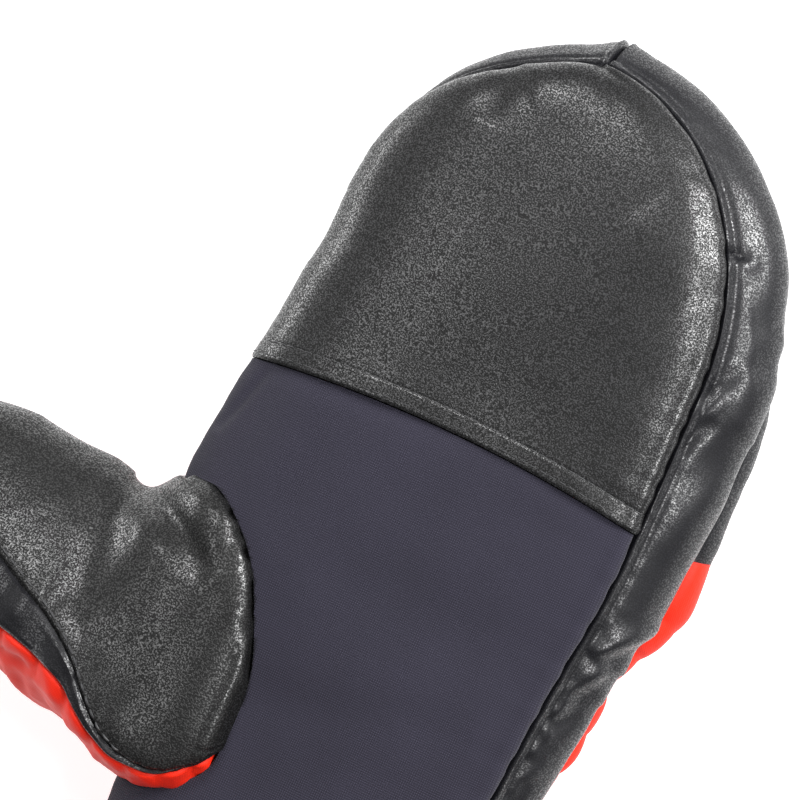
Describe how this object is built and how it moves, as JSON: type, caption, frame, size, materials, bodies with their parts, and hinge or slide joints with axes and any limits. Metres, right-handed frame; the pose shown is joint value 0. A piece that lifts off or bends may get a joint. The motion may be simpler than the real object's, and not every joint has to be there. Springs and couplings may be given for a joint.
{
  "type": "padded winter mitten",
  "caption": "Padded winter mitten for a left hand, lying palm up: leather over the fingertips, side and thumb, stretch fabric palm, quilted back shell and an open cuff.",
  "frame": {"origin": "centre of the bounding box at the surface that the back of the mitten rests on", "axes": "+Y from the cuff to the fingertips, +X from the thumb side to the little-finger side, +Z out of the palm"},
  "size_m": [0.2034, 0.3044, 0.0566],
  "materials": {
    "palm_fabric": "matt fine weave, dark navy",
    "cap_leather": "satin black with a fine pebble grain",
    "side_leather": "smoother black, satin",
    "thumb_leather": "satin black with a coarser pebble grain",
    "shell_fabric": "smooth woven shell, orange red, slight sheen"
  },
  "bodies": {
    "root": {"palm_panel": "palm_fabric", "fingertip_cap": "cap_leather", "outer_side_panel": "side_leather", "inner_side_panel": "side_leather", "back_shell": "shell_fabric", "back_fingertip_panel": "side_leather", "thumb_front": "thumb_leather", "thumb_side_strip": "side_leather", "thumb_back": "shell_fabric", "cuff": "shell_fabric"}
  },
  "joints": []
}
